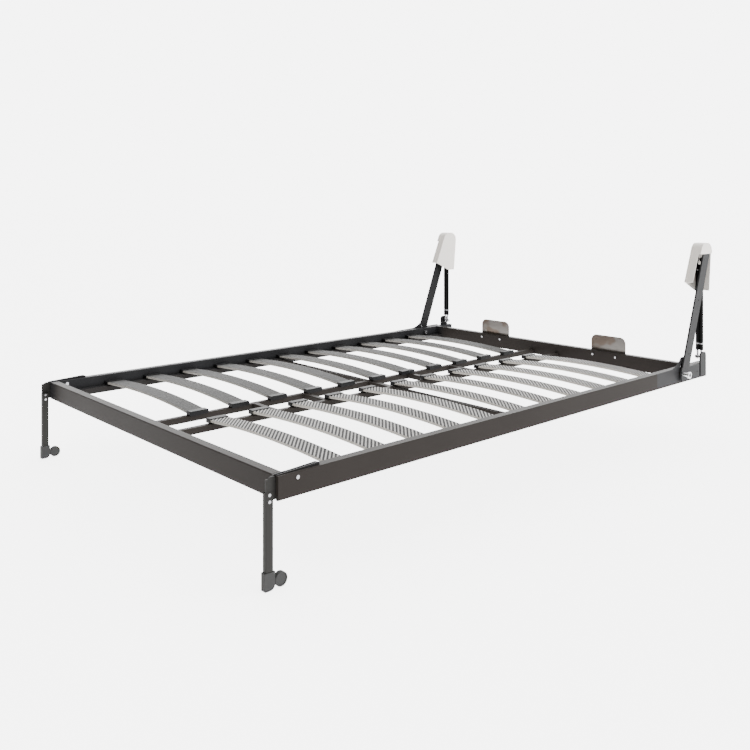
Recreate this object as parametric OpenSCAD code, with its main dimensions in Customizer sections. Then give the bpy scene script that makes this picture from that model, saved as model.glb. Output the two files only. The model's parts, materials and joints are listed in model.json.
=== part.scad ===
// Fold down wall bed mechanism: a double slatted frame that swings up between two wall brackets.
// Gas springs lift it and folding legs carry its foot end.
// Shapes are drawn in the frame's own axes: X across, Y from foot to head, Z up, with zero at
// the middle of the foot rail's outer face and at the underside of the rails.
// in_place() then moves them to the origin, on the floor under the middle of the mechanism.

/* [Frame] */
// Width of the frame over its side rails
frame_w = 1400; // [1300:10:1500]
// Inner length, from the foot rail's outer face to the head rail's inner face
frame_l = 1974; // [1950:2:2000]
// Height of the frame rails
rail_h = 58; // [58:1:62]
// Width of the frame rails
rail_w = 30; // [30:1:34]
// Wall thickness of every steel tube
tube_wall = 2; // [1.5:0.1:2.2]
// Height of the rails' underside above the floor
floor_h = 208; // [206:1:230]

/* [Slats] */
// Number of slats in each column
slat_count = 11; // [9:1:11]
// Distance from one slat to the next
slat_pitch = 155; // [150:1:155]
// Width of a slat
slat_w = 63; // [53:1:63]
// Thickness of a slat
slat_t = 8; // [6:1:8]
// Height by which a slat bows up in its middle
slat_rise = 14; // [8:1:16]
// Position of the first slat's front edge
slat_first = 199; // [190:1:200]

/* [Wall bracket] */
// Lean of the bracket's bar from the vertical
arm_lean = 21.2; // [20:0.2:22]
// Width of the bracket's bar, measured level
arm_w = 51; // [48:1:54]
// Height of the bar's top end above the rails' underside
arm_top = 489; // [486:1:492]
// Thickness of the bracket plate
arm_t = 6; // [5:0.5:6]

/* [Pivots] */
// Position of the main pivot along the frame
pivot_y = 1888; // [1886:1:1890]
// Height of the main pivot
pivot_z = 37; // [35:1:39]
// Diameter of the main pivot stud
stud_d = 12; // [10:1:12]
// Position of the leg pivot along the frame
leg_pivot_y = 57; // [56:1:58]
// Height of the leg pivot
leg_pivot_z = 45; // [44:1:46]

/* [Gas springs] */
// Diameter of a gas spring's cylinder
spring_d = 15; // [14:0.5:15]
// Diameter of a gas spring's rod
spring_rod_d = 8; // [6:1:8]
// Position of both spring pins along the frame
spring_y = 2065; // [2064:1:2066]
// Height of the upper spring pin
spring_top = 467; // [464:1:468]
// Height of the lower spring pin
spring_bottom = 79; // [78:1:80]

/* [Hidden] */
// Radial clearance of a running fit
run_fit = 0.05;
// Gap between pieces that pass each other
gap = 0.3;
$fn = 48;

half_w = frame_w / 2;
rail_in = half_w - rail_w;
rail_mid = half_w - rail_w / 2;
rail_end = frame_l + 112;
head_out = frame_l + rail_w;

// Slat supports: ledges inside the side rails and two centre rails, level with each other
support_z = 22;
support_h = 20;
ledge_w = 34;
ledge_in = rail_in - ledge_w;
centre_in = 57.5;
centre_out = 77.5;
tie_rows = [450, 661, 1175, 1415];
crossbar_y = 960;
crossbar_w = 25;

// Slats and the end holders that carry them
slat_in = 50.5;
slat_out = rail_in - 3;
slat_half = (slat_out - slat_in) / 2;
slat_mid = (slat_out + slat_in) / 2;
slat_r = (slat_half * slat_half + slat_rise * slat_rise) / (2 * slat_rise);
slat_end_z = support_z + 1.9;
slat_edge_r = 2.5;
holder_l = 23;
holder_w = slat_w + 4;
holder_h = 14.4;
holder_floor = 1.6;
holder_pocket = 11;

// Head end: hinge plate on the rail, bracket outside it
plate_t = 4.5;
plate_in = half_w - plate_t;
arm_in = half_w + 5;
arm_out = arm_in + arm_t;
lean = tan(arm_lean);
arm_front = pivot_y + 17;
arm_front_z = 104;
foot_rear = pivot_y + 130;
foot_nose = pivot_y - 11;
foot_low = 8;
foot_high = 60;
foot_nose_r = 60;
bush_d = 16;
bush_in = rail_in - 1.5;
bush_out = arm_in - gap;
stud_out = arm_out + 29;
stud_body_d = 16;
ring_d = 25;
ring_t = 6;
bar_screws = [[arm_front + 30, 110], [arm_front + 108, 310]];
foot_screws = [[pivot_y + 52, 32], [pivot_y + 112, 32]];
screw_d = 5.5;

// Spring ear at the rear end of each side rail
ear_t = 6;
ear_y0 = spring_y - 26;
ear_y1 = spring_y + 19;
ear_z0 = 3;
ear_z1 = 100;
ear_round = 14;
ear_bolts = [[ear_y0 + 12, 16], [ear_y1 - 11, 42]];

// Gas springs, two side by side on one pair of pins
spring_xs = [half_w - 20, half_w - 4.4];
pin_d = 8;
eye_d = 16;
eye_w = 6;
cyl_z0 = spring_bottom + 27;
cyl_z1 = spring_top - 20;
cyl_bore = spring_d - 2.4;
gland_l = 14;
piston_l = 12;

// White spring cover: outline in the side view
cover_wall = 2;
cover_in = half_w - 30;
cover_open = arm_in - gap;
cover_cap = arm_out + 0.5 + cover_wall;
cover_r = 37;
cover_top = 533;
cover_arc_z = cover_top - cover_r;
cover_front = [1976, 381];
cover_rear = [2104, 341];
cover_sill = [2062, 341];
cover_rear_lean = 5.5;
cover_front_lean = 23.5;
front_arc_y = cover_front[0] + (cover_arc_z + cover_r * sin(cover_front_lean) - cover_front[1])
    * tan(cover_front_lean) + cover_r * cos(cover_front_lean);
rear_arc_y = cover_rear[0] + (cover_arc_z - cover_r * sin(cover_rear_lean) - cover_rear[1])
    * tan(cover_rear_lean) - cover_r * cos(cover_rear_lean);

// Folding legs
leg_plate_x0 = rail_mid - 1;
leg_plate_t = 4;
leg_slot_x0 = leg_plate_x0 - 1;
leg_slot_x1 = leg_plate_x0 + leg_plate_t + 1;
leg_tube_x0 = rail_mid - 9.5;
leg_tube_x1 = rail_mid + 4.2;
leg_front = -28;
leg_w = 22;
leg_top = 22;
tongue_low = -22;
leg_arm_end = leg_pivot_y + 65;
leg_arm_low = tube_wall + gap;
leg_arm_high = rail_h - tube_wall - 2.5;
leg_arm_r = 20;
top_slot_end = leg_pivot_y + 72;
low_slot_end = leg_pivot_y + 39;
mouth_x0 = leg_tube_x0 - 1;
mouth_x1 = leg_tube_x1 + 1;
mouth_l = 12;
leg_bolt_d = 10;
rivet_zs = [16, 0];
boot_h = 43;
boot_front = leg_front - 3;
boot_rear = -2;
disc_r = 17.5;
disc_y = 18;
disc_t = 12;

// Mattress stops behind the head rail
stop_x = 310;
stop_w = 166;
stop_top = 122.5;
stop_t = 2.5;
stop_r = 26;
stop_bolt_z = 42;
stop_bolt_dx = 55;

// Panel screws under the side rails
panel_screw_ys = [600, 1400];
panel_screw_d = 5.5;

y_mid = (boot_front + rear_arc_y + cover_r) / 2;

// Moves the frame's own axes to the origin on the floor
module in_place() {
    translate([0, -y_mid, floor_h]) children();
}

// Draws a right side piece, or its mirror image on the left
module on_side(side) {
    in_place() mirror([side < 0 ? 1 : 0, 0, 0]) children();
}

// Extrudes a side view outline (Y, Z) from x0 to x1
module across(x0, x1) {
    translate([x0, 0, 0]) rotate([90, 0, 90]) linear_extrude(x1 - x0) children();
}

// Extrudes an end view outline (X, Z) from y0 to y1
module along(y0, y1) {
    translate([0, y1, 0]) rotate([90, 0, 0]) linear_extrude(y1 - y0) children();
}

// Round bar along X
module pin_x(x0, x1, y, z, d) {
    translate([x0, y, z]) rotate([0, 90, 0]) cylinder(h = x1 - x0, d = d);
}

// Round bar along Y
module pin_y(y0, y1, x, z, d) {
    translate([x, y1, z]) rotate([90, 0, 0]) cylinder(h = y1 - y0, d = d);
}

// Rectangle with round corners, its low corner at the point given
module round_rect(x, y, w, h, r) {
    translate([x + r, y]) square([w - 2 * r, h]);
    translate([x, y + r]) square([w, h - 2 * r]);
    for (cx = [x + r, x + w - r], cy = [y + r, y + h - r]) translate([cx, cy]) circle(r);
}

// Section of a square tube with rounded corners
module tube_section(x, y, w, h, r = 3) {
    difference() {
        round_rect(x, y, w, h, r);
        round_rect(x + tube_wall, y + tube_wall, w - 2 * tube_wall, h - 2 * tube_wall, r / 3);
    }
}

// Long hole in plan view, from y0 to a round end at y1
module slot_z(x0, x1, y0, y1, z0, z1) {
    r = (x1 - x0) / 2;
    translate([x0, y0, z0]) cube([x1 - x0, y1 - r - y0, z1 - z0]);
    translate([x0 + r, y1 - r, z0]) cylinder(h = z1 - z0, r = r);
}

// Wall brackets

module bracket_outline() {
    intersection() {
        translate([foot_nose, foot_low]) square([foot_rear - foot_nose, foot_high - foot_low]);
        union() {
            translate([foot_nose + foot_nose_r, 34]) circle(foot_nose_r, $fn = 180);
            translate([foot_nose + foot_nose_r, 0]) square([foot_rear, 100]);
        }
    }
    low = foot_high - 1;
    low_front = arm_front + (low - arm_front_z) * lean;
    top_front = arm_front + (arm_top - arm_front_z) * lean;
    polygon([
        [low_front, low], [low_front + arm_w, low],
        [top_front + arm_w, arm_top], [top_front, arm_top]
    ]);
}

module wall_bracket(side) {
    color("dimgray") on_side(side) difference() {
        across(arm_in, arm_out) bracket_outline();
        pin_x(arm_in - 1, arm_out + 1, pivot_y, pivot_z, stud_body_d + 2 * run_fit);
        pin_x(arm_in - 1, arm_out + 1, spring_y, spring_top, pin_d);
        for (p = concat(bar_screws, foot_screws)) {
            pin_x(arm_in - 1, arm_out + 1, p[0], p[1], screw_d);
        }
    }
}

// Side view outline of the cover, taken in by the amount given and drawn down by drop
module cover_outline(inset, drop) {
    r = cover_r - inset;
    front_dir = [sin(cover_front_lean), cos(cover_front_lean)];
    rear_dir = [sin(cover_rear_lean), cos(cover_rear_lean)];
    front_low = cover_front + inset * [front_dir[1], -front_dir[0]] - drop * front_dir / front_dir[1];
    rear_low = cover_rear + inset * [-rear_dir[1], rear_dir[0]] - drop * rear_dir / rear_dir[1];
    front_arc = [front_arc_y, cover_arc_z];
    rear_arc = [rear_arc_y, cover_arc_z];
    translate(front_arc) circle(r, $fn = 96);
    translate(rear_arc) circle(r, $fn = 96);
    polygon([
        front_low,
        front_arc + r * [-front_dir[1], front_dir[0]],
        front_arc + [0, r],
        rear_arc + [0, r],
        rear_arc + r * [rear_dir[1], -rear_dir[0]],
        rear_low,
        cover_sill - [0, drop]
    ]);
}

module spring_cover(side) {
    color("whitesmoke") on_side(side) difference() {
        union() {
            across(cover_in, cover_open) cover_outline(0, 0);
            // lip behind the bar
            across(cover_open - 1, arm_out - 1.5) intersection() {
                difference() {
                    cover_outline(0, 0);
                    cover_outline(cover_wall, 30);
                }
                translate([2101, cover_sill[1]]) square([40, cover_arc_z - cover_sill[1]]);
            }
            intersection() {
                across(cover_open - 1, cover_cap) cover_outline(0, 0);
                translate([cover_open - 2, 1900, arm_top + gap]) cube([30, 300, 100]);
            }
        }
        across(cover_in + cover_wall, cover_open + 1) cover_outline(cover_wall, 30);
        intersection() {
            across(cover_open, cover_cap - cover_wall) cover_outline(cover_wall, 0);
            translate([cover_open - 2, 1900, arm_top + gap + cover_wall]) cube([30, 300, 100]);
        }
    }
}

module pivot_stud(side) {
    color("silver") on_side(side) difference() {
        union() {
            pin_x(bush_in - 0.5, arm_in, pivot_y, pivot_z, stud_d);
            pin_x(bush_in - 5.5, bush_in - 0.5, pivot_y, pivot_z, 20);
            pin_x(arm_in, stud_out - ring_t, pivot_y, pivot_z, stud_body_d);
            pin_x(stud_out - ring_t, stud_out, pivot_y, pivot_z, ring_d);
        }
        pin_x(stud_out - ring_t + 1, stud_out + 1, pivot_y, pivot_z, ring_d - 9);
        translate([stud_out - 14, pivot_y, pivot_z]) rotate([0, 90, 0])
            cylinder(h = 14, d = 10.4, $fn = 6);
    }
}

module upper_spring_pin(side) {
    x_end = spring_xs[0] - eye_w / 2 - 3;
    color("silver") on_side(side) {
        pin_x(x_end, arm_out, spring_y, spring_top, pin_d - 2 * run_fit);
        pin_x(spring_xs[1] + eye_w / 2 + gap, arm_in, spring_y, spring_top, pin_d + 4);
        pin_x(x_end - 1, x_end + 2, spring_y, spring_top, pin_d + 4);
    }
}

// Frame

module side_rail(side) {
    color("gray") on_side(side) difference() {
        union() {
            along(0, rail_end) tube_section(rail_in, 0, rail_w, rail_h);
            translate([mouth_x1, 0, 1]) cube([half_w - 1 - mouth_x1, 6, rail_h - 2]);
            translate([rail_in + 1, 0, 1]) cube([mouth_x0 - rail_in - 1, 6, rail_h - 2]);
        }
        slot_z(leg_slot_x0, leg_slot_x1, -1, top_slot_end, rail_h - tube_wall - 2, rail_h + 1);
        slot_z(leg_slot_x0, leg_slot_x1, -1, low_slot_end, -1, tube_wall + 2);
        translate([mouth_x0, -1, -1]) cube([mouth_x1 - mouth_x0, mouth_l + 1, tube_wall + 2]);
        pin_x(rail_in - 1, half_w + 1, leg_pivot_y, leg_pivot_z, leg_bolt_d + 2 * run_fit);
        across(plate_in, half_w + 1) hinge_outline();
        pin_x(rail_in - 1, half_w + 1, pivot_y, pivot_z, bush_d + 2 * run_fit);
        for (p = ear_bolts) pin_x(rail_in + rail_w / 2, half_w + 1, p[0], p[1], 6.4);
        for (y = panel_screw_ys) {
            translate([rail_mid, y, -1]) cylinder(h = tube_wall + 2, d = panel_screw_d);
        }
    }
}

module foot_rail() {
    color("gray") in_place() {
        across(-rail_in, rail_in) tube_section(0, 0, rail_w, rail_h);
    }
}

module head_rail() {
    color("gray") in_place() difference() {
        across(-rail_in, rail_in) tube_section(frame_l, 0, rail_w, rail_h);
        for (s = [-1, 1], t = [-1, 1]) {
            pin_y(frame_l - 1, head_out + 1, s * stop_x + t * stop_bolt_dx, stop_bolt_z, 8.2);
        }
    }
}

module slat_ledge(side) {
    color("gray") on_side(side) along(rail_w, frame_l)
        tube_section(ledge_in, support_z - support_h, ledge_w, support_h);
}

module centre_rail(side) {
    color("gray") on_side(side) along(rail_w, frame_l)
        tube_section(centre_in, support_z - support_h, centre_out - centre_in, support_h, 2);
}

module cross_ties() {
    color("gray") in_place() for (y = tie_rows) {
        across(-centre_in, centre_in) tube_section(y - 10, support_z - 18, 20, 18, 2);
    }
}

module mid_crossbar() {
    color("gray") in_place() {
        for (span = [[-ledge_in, -centre_out], [-centre_in, centre_in], [centre_out, ledge_in]]) {
            across(span[0], span[1]) tube_section(crossbar_y, 0, crossbar_w, 20, 2);
        }
    }
}

// Hinge plate: set flush into the rail's outer wall, rising in a hollow curve to a hump
module hinge_outline() {
    rise_r = 46;
    rise = [pivot_y - 37, 107];
    hump_y = pivot_y + 43;
    hump_r = 7;
    polygon(concat(
        [[pivot_y - 172, 6], [pivot_y - 172, rail_h + 0.5]],
        [for (a = [-90:5:-15]) rise + rise_r * [cos(a), sin(a)]],
        [[pivot_y + 14, 98]],
        [for (a = [90:-11.5:-25]) [hump_y, 98 - hump_r] + hump_r * [cos(a), sin(a)]],
        [[hump_y - hump_r, 60], [hump_y - hump_r, 6]]
    ));
}

module hinge_plate(side) {
    color("dimgray") on_side(side) difference() {
        across(plate_in, plate_in + plate_t) hinge_outline();
        pin_x(plate_in - 1, plate_in + plate_t + 1, pivot_y, pivot_z, bush_d + 2 * run_fit);
    }
}

module hinge_rivets() {
    for (side = [-1, 1]) color("silver") on_side(side) {
        pin_x(half_w, half_w + 1.8, pivot_y, 64, 8);
        pin_x(plate_in - 1.8, plate_in, pivot_y, 64, 8);
    }
}

module pivot_bushes() {
    for (side = [-1, 1]) color("goldenrod") on_side(side) difference() {
        pin_x(bush_in, bush_out, pivot_y, pivot_z, bush_d);
        pin_x(bush_in - 1, bush_out + 1, pivot_y, pivot_z, stud_d + 2 * run_fit);
    }
}

module spring_ear(side) {
    r = ear_round;
    color("dimgray") on_side(side) difference() {
        across(half_w, half_w + ear_t) {
            translate([ear_y0, ear_z0]) square([ear_y1 - ear_y0, ear_z1 - r - ear_z0]);
            translate([ear_y0 + r, ear_z1 - r]) square([ear_y1 - ear_y0 - 2 * r, r]);
            for (y = [ear_y0 + r, ear_y1 - r]) translate([y, ear_z1 - r]) circle(r);
        }
        pin_x(half_w - 1, half_w + ear_t + 1, spring_y, spring_bottom, pin_d + 2 * run_fit);
        pin_x(half_w + ear_t - 2.5, half_w + ear_t + 1, spring_y, spring_bottom, 12 + 2 * run_fit);
        for (p = ear_bolts) {
            pin_x(half_w - 1, half_w + ear_t + 1, p[0], p[1], 6.4);
            pin_x(half_w + ear_t - 2.5, half_w + ear_t + 1, p[0], p[1], 10 + 2 * run_fit);
        }
    }
}

// Bolts that hold the ear to the rail, and the one that carries the lower spring pin, all flush
module ear_bolts() {
    for (side = [-1, 1]) color("dimgray") on_side(side) {
        for (p = ear_bolts) {
            pin_x(half_w - tube_wall - 4, half_w + ear_t, p[0], p[1], 6);
            pin_x(half_w + ear_t - 2.5, half_w + ear_t, p[0], p[1], 10);
            pin_x(half_w - tube_wall - 5, half_w - tube_wall, p[0], p[1], 10);
        }
        pin_x(half_w + 0.2, half_w + ear_t, spring_y, spring_bottom, pin_d);
        pin_x(half_w + ear_t - 2.5, half_w + ear_t, spring_y, spring_bottom, 12);
    }
}

module mattress_stop(side) {
    color("silver") on_side(side) difference() {
        translate([0, head_out + stop_t, 0]) rotate([90, 0, 0]) linear_extrude(stop_t) {
            translate([stop_x - stop_w / 2, 20]) square([stop_w, stop_top - stop_r - 20]);
            translate([stop_x - stop_w / 2 + stop_r, 20]) square([stop_w - 2 * stop_r, stop_top - 20]);
            for (t = [-1, 1]) {
                translate([stop_x + t * (stop_w / 2 - stop_r), stop_top - stop_r]) circle(stop_r);
            }
        }
        for (t = [-1, 1]) {
            pin_y(head_out - 1, head_out + 5, stop_x + t * stop_bolt_dx, stop_bolt_z, 8.2);
        }
    }
}

module stop_bolts() {
    for (side = [-1, 1], t = [-1, 1]) color("silver") on_side(side) {
        x = stop_x + t * stop_bolt_dx;
        pin_y(frame_l - 5, frame_l, x, stop_bolt_z, 13);
        pin_y(frame_l - 1, head_out + stop_t + 9, x, stop_bolt_z, 8);
        translate([x, head_out + stop_t + 6.5, stop_bolt_z]) rotate([90, 0, 0])
            cylinder(h = 6.5, d = 15, $fn = 6);
    }
}

// Slats and their holders

function slat_y(i) = slat_first + slat_w / 2 + i * slat_pitch;

// Plastic sleeve for a slat end, open towards the slat; dir is the side it opens to
module slat_holder(x0, dir) {
    pocket_x = dir > 0 ? 1.5 : -1;
    difference() {
        translate([x0, 0, support_z]) rotate([90, 0, 90]) linear_extrude(holder_l)
            round_rect(-holder_w / 2, 0, holder_w, holder_h, 2.5);
        translate([x0 + pocket_x, -slat_w / 2 - 0.4, support_z + holder_floor])
            cube([holder_l - 0.5, slat_w + 0.8, holder_pocket]);
    }
}

module slat_holders(side, x0, dir) {
    color("black") on_side(side) for (i = [0:slat_count - 1]) {
        translate([0, slat_y(i), 0]) slat_holder(x0, dir);
    }
}

// Bowed slat: a rounded section swept about a level axis far below it
module slat() {
    half_angle = asin(slat_half / slat_r);
    translate([slat_mid, 0, slat_end_z + slat_rise - slat_r]) rotate([90, 0, 0])
        rotate([0, 0, 90 - half_angle])
            rotate_extrude(angle = 2 * half_angle, $fn = 720)
                round_rect(slat_r, -slat_w / 2, slat_t, slat_w, slat_edge_r, $fn = 24);
}

module slat_pair(i) {
    for (side = [-1, 1]) color("lightgray") on_side(side) translate([0, slat_y(i), 0]) slat();
}

// Legs

module leg_pivot_bolts() {
    for (side = [-1, 1]) color("silver") on_side(side) {
        pin_x(rail_in - 2, half_w + 0.01, leg_pivot_y, leg_pivot_z, leg_bolt_d);
        pin_x(half_w, half_w + 2, leg_pivot_y, leg_pivot_z, leg_bolt_d + 3);
        pin_x(rail_in - 3.5, rail_in, leg_pivot_y, leg_pivot_z, leg_bolt_d + 3);
    }
}

// Black liner round the leg's slot in the top of the rail, rising towards the head
module leg_guide(side) {
    lip = 2.5;
    end_y = top_slot_end + 1;
    color("black") on_side(side) difference() {
        intersection() {
            across(leg_slot_x0 - lip, leg_slot_x1 + lip) polygon([
                [2, rail_h], [2, rail_h + 1.5], [end_y - 6, rail_h + 7],
                [end_y, rail_h + 5], [end_y + lip, rail_h + 2], [end_y + lip, rail_h]
            ]);
            slot_z(leg_slot_x0 - lip, leg_slot_x1 + lip, 0, end_y + lip, rail_h - 1, rail_h + 10);
        }
        slot_z(leg_slot_x0, leg_slot_x1, -1, end_y, rail_h - 2, rail_h + 11);
    }
}

module leg_plate(side) {
    front_r = 18;
    color("gainsboro") on_side(side) difference() {
        across(leg_plate_x0, leg_plate_x0 + leg_plate_t) {
            // arm inside the rail, with its low rear corner rounded to pass the slot
            translate([leg_front + 1, leg_arm_low])
                square([leg_arm_end - leg_arm_r - leg_front - 1, leg_arm_high - leg_arm_low]);
            translate([leg_arm_end - leg_arm_r, leg_arm_low + leg_arm_r])
                square([leg_arm_r, leg_arm_high - leg_arm_low - leg_arm_r]);
            translate([leg_arm_end - leg_arm_r, leg_arm_low + leg_arm_r]) circle(leg_arm_r);
            // tongue in front of the rail, with a round top corner
            translate([leg_front + 1, tongue_low])
                square([leg_w - 2, rail_h - front_r - tongue_low]);
            translate([leg_front + 1 + front_r, tongue_low])
                square([leg_w - 2 - front_r, rail_h - tongue_low]);
            translate([leg_front + 1 + front_r, rail_h - front_r]) circle(front_r);
        }
        pin_x(rail_in, half_w, leg_pivot_y, leg_pivot_z, leg_bolt_d + 2 * run_fit);
        for (z = rivet_zs) pin_x(rail_in, half_w, leg_front + leg_w / 2, z, 5.2);
    }
}

module leg_tube(side) {
    color("dimgray") on_side(side) difference() {
        translate([0, 0, boot_h + 1 - floor_h]) linear_extrude(leg_top - boot_h - 1 + floor_h)
            difference() {
                round_rect(leg_tube_x0, leg_front, leg_tube_x1 - leg_tube_x0, leg_w, 2);
                translate([leg_tube_x0 + 1.2, leg_front + 0.8])
                    square([leg_tube_x1 - leg_tube_x0 - 2.4, leg_w - 1.6]);
            }
        // slot that lets the plate's arm through the rear wall
        translate([leg_plate_x0 - gap, leg_front + leg_w - 2, leg_arm_low - gap])
            cube([leg_plate_t + gap, 3, leg_top]);
        for (z = rivet_zs) pin_x(rail_in, half_w, leg_front + leg_w / 2, z, 5.2);
    }
}

module leg_rivets(side) {
    color("white") on_side(side) for (z = rivet_zs) {
        y = leg_front + leg_w / 2;
        pin_x(leg_tube_x0 - 0.5, leg_tube_x1 + 0.5, y, z, 5);
        pin_x(leg_tube_x1, leg_tube_x1 + 1, y, z, 8);
        pin_x(leg_tube_x0 - 1, leg_tube_x0, y, z, 8);
    }
}

// Side view outline of the rubber boot, round at its heel, with the disc bumper behind it
module foot_outline() {
    z0 = -floor_h;
    heel = 14;
    translate([boot_front + 2, z0]) square([boot_rear - boot_front - 2 - heel, boot_h]);
    translate([boot_front, z0 + 2]) square([10, boot_h - 2]);
    translate([boot_front + 2, z0 + 2]) circle(2);
    translate([boot_rear - heel, z0 + heel]) square([heel, boot_h - heel]);
    translate([boot_rear - heel, z0 + heel]) circle(heel);
}

module foot(side) {
    z0 = -floor_h;
    mid = (leg_tube_x0 + leg_tube_x1) / 2;
    color([0.22, 0.22, 0.22]) on_side(side) difference() {
        union() {
            across(leg_tube_x0 - 1.5, leg_tube_x1 + 1.5) foot_outline();
            translate([mid - 5, boot_rear - 4, z0 + 9]) cube([10, 12, 16]);
            pin_x(mid - disc_t / 2, mid + disc_t / 2, disc_y, z0 + disc_r, 2 * disc_r);
        }
        pin_x(mid + disc_t / 2 - 1, mid + disc_t, disc_y, z0 + disc_r, 2 * disc_r - 8);
        pin_x(mid - disc_t, mid - disc_t / 2 + 1, disc_y, z0 + disc_r, 2 * disc_r - 8);
    }
}

// Gas springs

module gas_cylinder(x) {
    difference() {
        union() {
            translate([x, spring_y, cyl_z0]) cylinder(h = cyl_z1 - cyl_z0, d = spring_d);
            translate([x, spring_y, cyl_z1 - 1]) cylinder(h = 16, d = eye_w);
            pin_x(x - eye_w / 2, x + eye_w / 2, spring_y, spring_top, eye_d);
        }
        // rolled grooves that hold the gland and the end plug
        for (z = [cyl_z0 + gland_l + 12, cyl_z1 - 22]) translate([x, spring_y, z])
            rotate_extrude() translate([spring_d / 2 + 0.4, 0]) circle(1.2, $fn = 24);
        translate([x, spring_y, cyl_z0 + gland_l]) cylinder(h = cyl_z1 - cyl_z0 - gland_l - 8, d = cyl_bore);
        translate([x, spring_y, cyl_z0 - 1])
            cylinder(h = gland_l + 2, d = spring_rod_d + 2 * run_fit);
        pin_x(x - eye_w, x + eye_w, spring_y, spring_top, pin_d);
    }
}

module gas_cylinders(side) {
    color([0.08, 0.08, 0.08]) on_side(side) for (x = spring_xs) gas_cylinder(x);
}

// Rod with its piston inside the cylinder and its eye below, and the pin that joins both eyes
module gas_rods(side) {
    rod_top = cyl_z1 - 16;
    color("silver") on_side(side) {
        for (x = spring_xs) {
            translate([x, spring_y, spring_bottom + 3])
                cylinder(h = rod_top - spring_bottom - 3, d = spring_rod_d);
            translate([x, spring_y, rod_top - piston_l - 2])
                cylinder(h = piston_l, d = cyl_bore - 2 * run_fit);
            pin_x(x - eye_w / 2, x + eye_w / 2, spring_y, spring_bottom, eye_d);
        }
        pin_x(spring_xs[0] - eye_w / 2 - 4, half_w - gap, spring_y, spring_bottom, pin_d);
        pin_x(spring_xs[0] - eye_w / 2 - 6, spring_xs[0] - eye_w / 2 - 4, spring_y, spring_bottom, 12);
    }
}

wall_bracket(1);  // right_wall_bracket
wall_bracket(-1);  // left_wall_bracket
spring_cover(1);  // right_spring_cover
spring_cover(-1);  // left_spring_cover
pivot_stud(1);  // right_pivot_stud
pivot_stud(-1);  // left_pivot_stud
upper_spring_pin(1);  // right_upper_spring_pin
upper_spring_pin(-1);  // left_upper_spring_pin
side_rail(1);  // right_side_rail
side_rail(-1);  // left_side_rail
foot_rail();
head_rail();
slat_ledge(1);  // right_slat_ledge
slat_ledge(-1);  // left_slat_ledge
centre_rail(1);  // right_centre_rail
centre_rail(-1);  // left_centre_rail
cross_ties();
mid_crossbar();
hinge_plate(1);  // right_hinge_plate
hinge_plate(-1);  // left_hinge_plate
spring_ear(1);  // right_spring_ear
spring_ear(-1);  // left_spring_ear
ear_bolts();
pivot_bushes();
hinge_rivets();
mattress_stop(1);  // right_mattress_stop
mattress_stop(-1);  // left_mattress_stop
stop_bolts();
slat_holders(1, rail_in - holder_l - 0.5, -1);  // right_outer_slat_holders
slat_holders(1, slat_in - 3, 1);  // right_inner_slat_holders
slat_holders(-1, rail_in - holder_l - 0.5, -1);  // left_outer_slat_holders
slat_holders(-1, slat_in - 3, 1);  // left_inner_slat_holders
slat_pair(0);  // slat_pair_01
slat_pair(1);  // slat_pair_02
slat_pair(2);  // slat_pair_03
slat_pair(3);  // slat_pair_04
slat_pair(4);  // slat_pair_05
slat_pair(5);  // slat_pair_06
slat_pair(6);  // slat_pair_07
slat_pair(7);  // slat_pair_08
slat_pair(8);  // slat_pair_09
slat_pair(9);  // slat_pair_10
slat_pair(10);  // slat_pair_11
leg_pivot_bolts();
leg_guide(1);  // right_leg_guide
leg_guide(-1);  // left_leg_guide
leg_plate(1);  // right_leg_plate
leg_plate(-1);  // left_leg_plate
leg_tube(1);  // right_leg_tube
leg_tube(-1);  // left_leg_tube
leg_rivets(1);  // right_leg_rivets
leg_rivets(-1);  // left_leg_rivets
foot(1);  // right_foot
foot(-1);  // left_foot
gas_cylinders(1);  // right_gas_cylinders
gas_cylinders(-1);  // left_gas_cylinders
gas_rods(1);  // right_gas_rods
gas_rods(-1);  // left_gas_rods
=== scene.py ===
"""Looks of a fold down wall bed mechanism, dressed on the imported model.

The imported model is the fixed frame. The slats, the springs' bands and clips, the legs' pivot
bolts, the hinge plates' rises, the painted pin ends and the weld beads are made here. Plates,
mouldings, feet and some fasteners are shown as copies of their solids with broken edges, and the
bolts of the mattress stops get narrower heads. Every other solid is shown as it is. Lengths are in
metres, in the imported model's own axes.
"""

import json
import logging
import math
from collections.abc import Iterable
from dataclasses import dataclass
from enum import Enum
from typing import Any

import bmesh
import bpy
import numpy as np
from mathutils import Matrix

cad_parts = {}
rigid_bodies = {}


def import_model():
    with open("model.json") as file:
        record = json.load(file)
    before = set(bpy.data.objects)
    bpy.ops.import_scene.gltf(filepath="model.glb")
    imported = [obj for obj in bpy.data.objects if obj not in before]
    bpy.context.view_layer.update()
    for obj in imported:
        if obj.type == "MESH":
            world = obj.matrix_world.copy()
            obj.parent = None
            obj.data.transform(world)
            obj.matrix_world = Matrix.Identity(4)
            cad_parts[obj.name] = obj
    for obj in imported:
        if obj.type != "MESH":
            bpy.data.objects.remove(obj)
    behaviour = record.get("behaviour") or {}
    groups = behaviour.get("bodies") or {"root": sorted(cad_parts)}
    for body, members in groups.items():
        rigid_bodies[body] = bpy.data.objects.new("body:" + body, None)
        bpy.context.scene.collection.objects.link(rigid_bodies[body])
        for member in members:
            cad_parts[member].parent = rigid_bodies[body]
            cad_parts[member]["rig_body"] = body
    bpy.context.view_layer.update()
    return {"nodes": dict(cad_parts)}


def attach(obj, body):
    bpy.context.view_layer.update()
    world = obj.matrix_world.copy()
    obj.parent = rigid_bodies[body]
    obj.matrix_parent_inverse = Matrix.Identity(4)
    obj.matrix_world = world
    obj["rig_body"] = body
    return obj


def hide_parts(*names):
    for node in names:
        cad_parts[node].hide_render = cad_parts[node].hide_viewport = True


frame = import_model()
log = logging.getLogger("wall_bed")

MM = 0.001
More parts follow.
